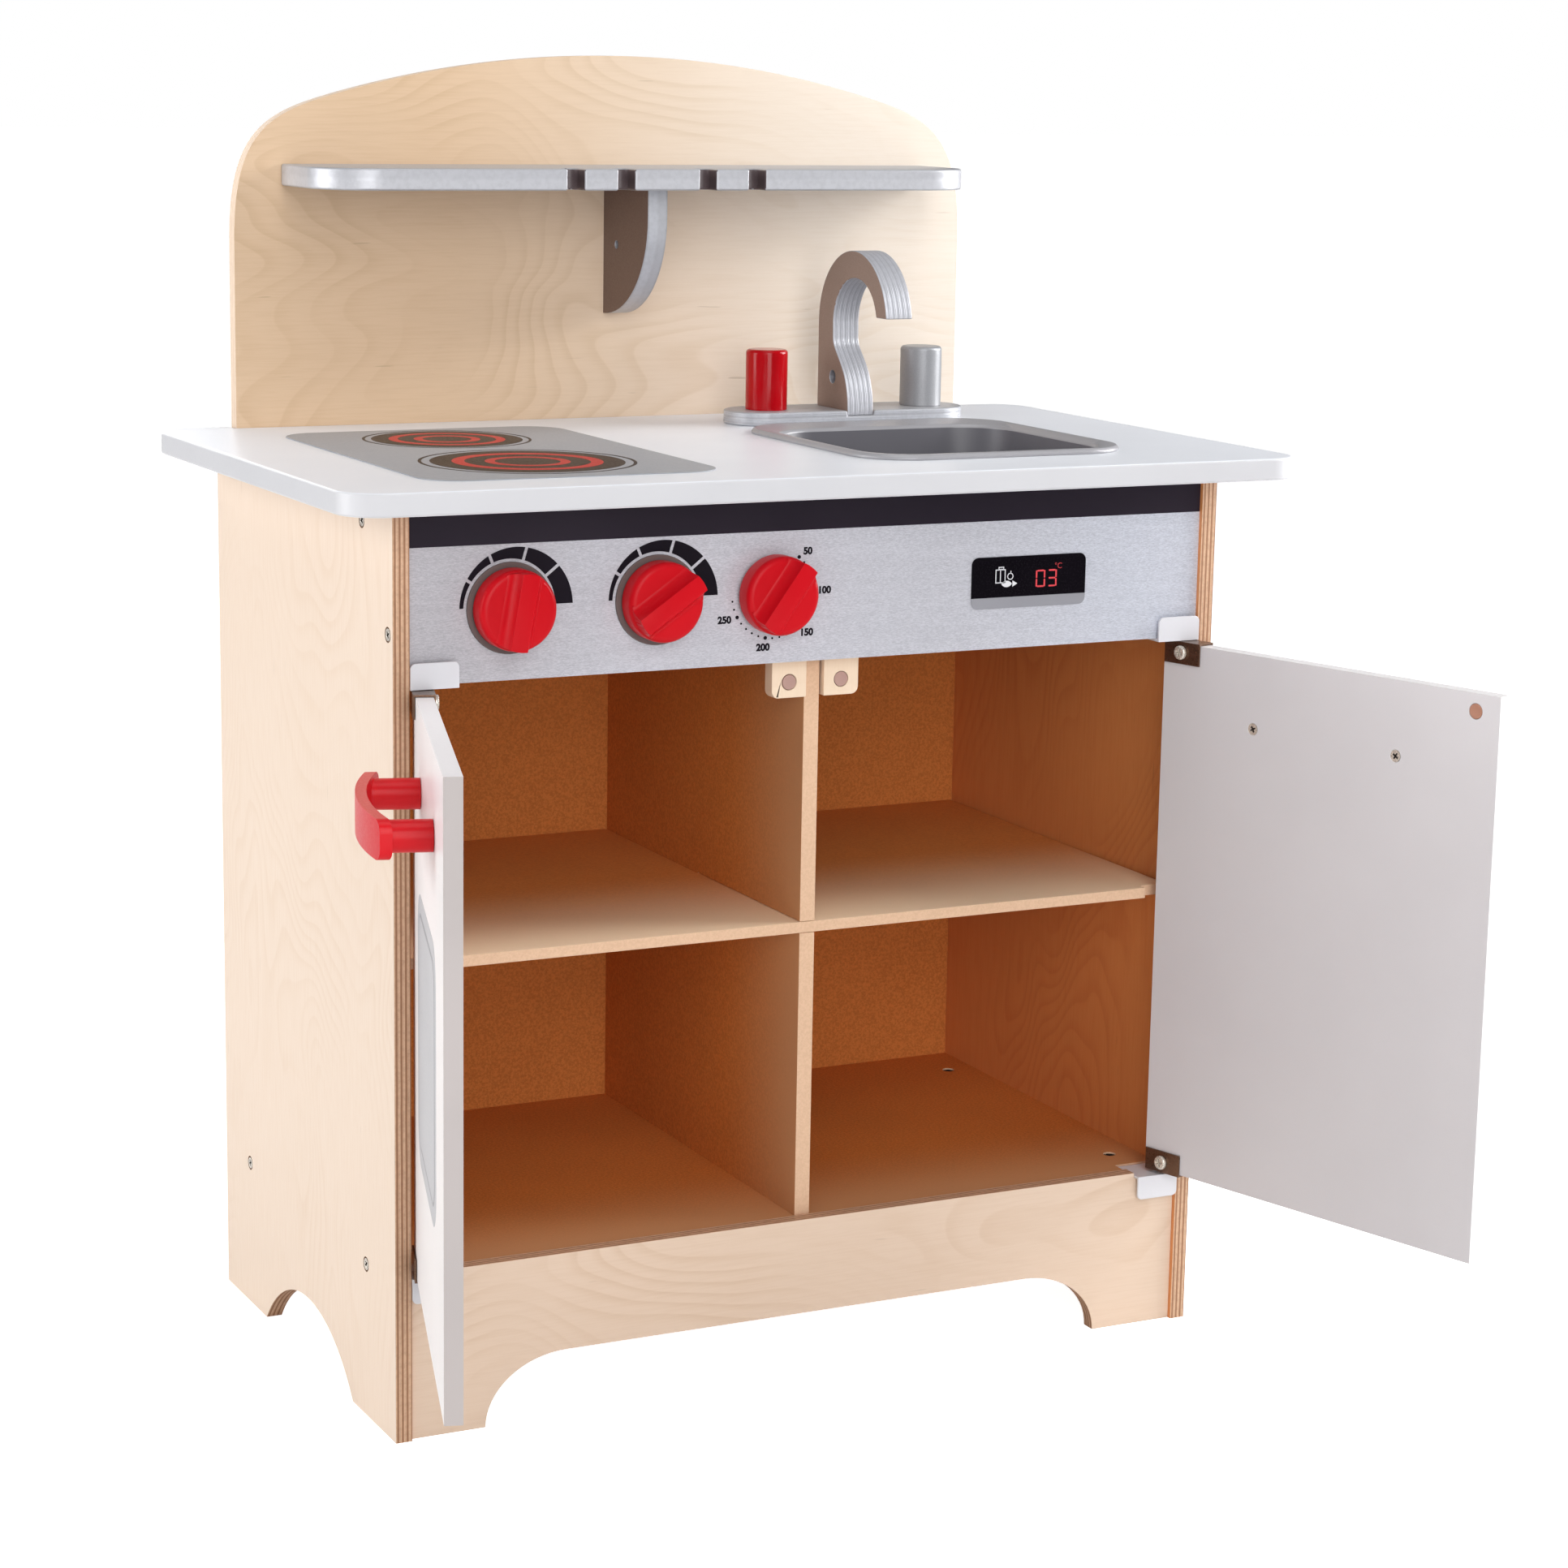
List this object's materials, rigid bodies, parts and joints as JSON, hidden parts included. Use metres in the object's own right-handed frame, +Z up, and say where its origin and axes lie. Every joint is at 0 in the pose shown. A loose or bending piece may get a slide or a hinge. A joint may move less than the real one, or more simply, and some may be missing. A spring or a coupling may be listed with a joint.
{
  "type": "toy kitchen",
  "caption": "Wooden toy kitchen: open cabinet with swinging doors, control panel with dials, worktop with hob, lift-out sink and tap, and a backboard with a shelf.",
  "frame": {"origin": "centre of the bounding box's bottom face, on the floor, with both doors open as in the picture", "axes": "+X to the right seen from the front, +Y to the back, +Z up"},
  "size_m": [0.6022, 0.4974, 0.7085],
  "materials": {
    "birch": "clear-coated birch plywood with layered edges",
    "fibreboard": "bare brown fibreboard with paler edges",
    "white_lacquer": "white lacquer on wood",
    "brushed_front": "wood faced with a brushed silver film",
    "hob_print": "printed grey hob sheet",
    "silver_paint": "silver-grey paint on wood",
    "red_paint": "red paint on wood",
    "basin_grey": "satin silver-grey moulded plastic",
    "red_plastic": "glossy red moulded plastic",
    "dark_collar": "dark brown-grey plastic",
    "display_black": "glossy black film with printed figures",
    "white_hinge": "white coated steel",
    "bronze_metal": "bronze-toned steel",
    "steel": "plated steel",
    "magnet": "bare sintered magnet"
  },
  "bodies": {
    "cabinet": {"left_side_panel": "birch", "right_side_panel": "birch", "kick_board": "birch", "backboard": "birch", "left_worktop_cleat": "birch", "right_worktop_cleat": "birch", "left_catch_block": "birch", "right_catch_block": "birch", "back_panel": "fibreboard", "floor_board": "fibreboard", "middle_shelf": "fibreboard", "divider": "fibreboard", "worktop": "white_lacquer", "control_panel": "brushed_front", "hob_sheet": "hob_print", "top_shelf": "silver_paint", "shelf_bracket": "silver_paint", "tap_base": "silver_paint", "tap_spout": "silver_paint", "left_dial_collar": "dark_collar", "middle_dial_collar": "dark_collar", "display_plate": "display_black", "left_upper_hinge_plate": "white_hinge", "left_lower_hinge_plate": "white_hinge", "right_upper_hinge_plate": "white_hinge", "right_lower_hinge_plate": "white_hinge", "left_control_screw": "steel", "left_cleat_screw": "steel", "left_floor_front_screw": "steel", "left_floor_rear_screw": "steel", "right_control_screw": "steel", "right_cleat_screw": "steel", "right_floor_front_screw": "steel", "right_floor_rear_screw": "steel", "left_catch_magnet": "magnet", "right_catch_magnet": "magnet"},
    "left_door_body": {"left_door": "white_lacquer", "left_door_handle": "red_plastic", "left_upper_hinge_clip": "bronze_metal", "left_upper_clip_screw": "bronze_metal", "left_lower_hinge_clip": "bronze_metal", "left_lower_clip_screw": "bronze_metal", "left_handle_screw_1": "steel", "left_handle_screw_2": "steel", "left_strike_disc": "steel"},
    "right_door_body": {"right_door": "white_lacquer", "right_door_handle": "red_plastic", "right_upper_hinge_clip": "bronze_metal", "right_upper_clip_screw": "bronze_metal", "right_lower_hinge_clip": "bronze_metal", "right_lower_clip_screw": "bronze_metal", "right_handle_screw_1": "steel", "right_handle_screw_2": "steel", "right_strike_disc": "steel"},
    "left_dial_body": {"left_dial": "red_plastic"},
    "middle_dial_body": {"middle_dial": "red_plastic"},
    "right_dial_body": {"right_dial": "red_plastic"},
    "left_tap_body": {"left_tap_handle": "red_paint"},
    "right_tap_body": {"right_tap_handle": "silver_paint"},
    "sink_body": {"sink_basin": "basin_grey"}
  },
  "joints": [
    {"name": "left_door_hinge", "type": "hinge", "parent": "cabinet", "child": "left_door_body", "pos_m": [-0.22225, -0.034, 0.24325], "axis": [0, 0, 1], "range_deg": [-3.75, 107.25]},
    {"name": "right_door_hinge", "type": "hinge", "parent": "cabinet", "child": "right_door_body", "pos_m": [0.22425, -0.034, 0.24325], "axis": [0, 0, -1], "range_deg": [-4, 106.5]},
    {"name": "left_dial_turn", "type": "hinge", "parent": "cabinet", "child": "left_dial_body", "pos_m": [-0.17675, -0.04125, 0.435], "axis": [0, -1, 0], "range_deg": [-80, 100]},
    {"name": "middle_dial_turn", "type": "hinge", "parent": "cabinet", "child": "middle_dial_body", "pos_m": [-0.09525, -0.04125, 0.435], "axis": [0, -1, 0], "range_deg": [-34, 146]},
    {"name": "right_dial_turn", "type": "hinge", "parent": "cabinet", "child": "right_dial_body", "pos_m": [-0.02875, -0.04125, 0.435], "axis": [0, -1, 0], "range_deg": [-226, 0]},
    {"name": "left_tap_turn", "type": "hinge", "parent": "cabinet", "child": "left_tap_body", "pos_m": [0.073, 0.18025, 0.508], "axis": [0, 0, 1], "continuous": true},
    {"name": "right_tap_turn", "type": "hinge", "parent": "cabinet", "child": "right_tap_body", "pos_m": [0.175, 0.18025, 0.508], "axis": [0, 0, 1], "continuous": true},
    {"name": "sink_lift", "type": "slide", "parent": "cabinet", "child": "sink_body", "axis": [0, 0, 1], "range_m": [0, 0.05]}
  ]
}
